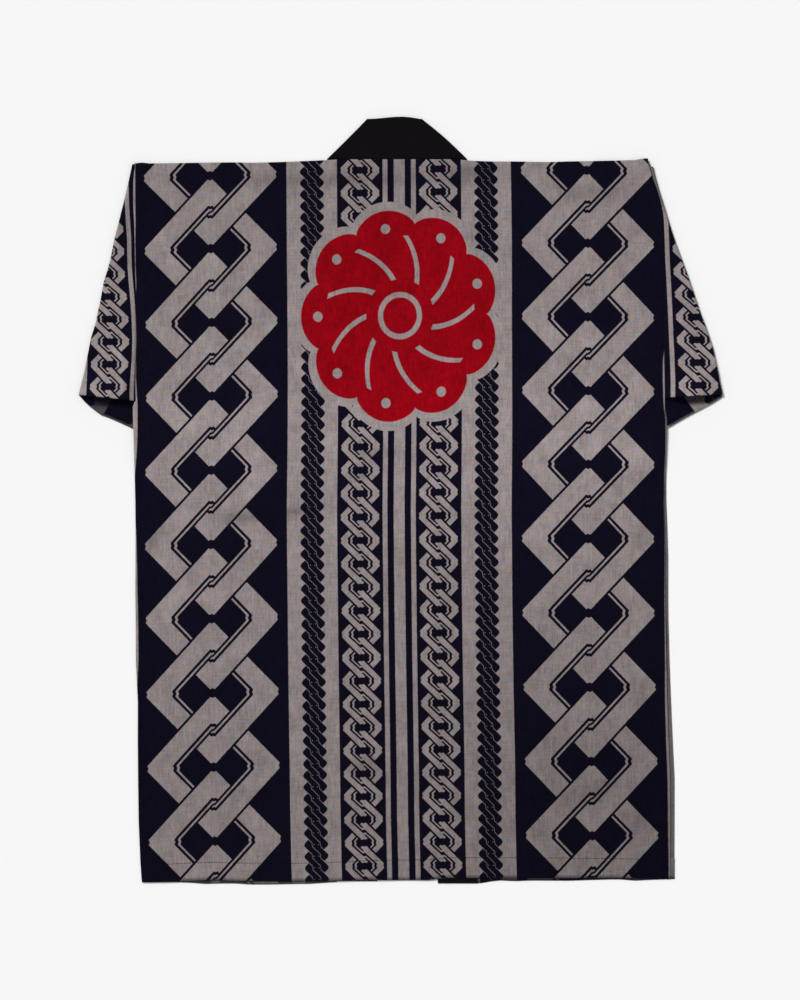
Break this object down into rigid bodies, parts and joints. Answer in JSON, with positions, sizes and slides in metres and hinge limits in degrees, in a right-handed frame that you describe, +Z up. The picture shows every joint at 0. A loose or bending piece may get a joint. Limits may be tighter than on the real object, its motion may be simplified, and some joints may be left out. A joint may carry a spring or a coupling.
{
  "type": "happi coat",
  "caption": "Unlined short festival coat laid flat with its back up, straight sleeves folded under, a long black collar band and a printed chain pattern.",
  "frame": {"origin": "on the surface the coat lies on, under the middle of its outline", "axes": "+Z up from the surface, +Y from the hem to the collar, +X towards the wearer's right sleeve"},
  "size_m": [0.7589, 0.9038, 0.0055],
  "materials": {
    "printed_cotton": "matt plain weave, navy with warm grey printed chains and stripes",
    "black_cotton": "matt plain weave"
  },
  "bodies": {
    "root": {"back": "printed_cotton", "front_left": "printed_cotton", "front_right": "printed_cotton", "sleeve_left": "printed_cotton", "sleeve_right": "printed_cotton", "collar": "black_cotton"}
  },
  "joints": []
}
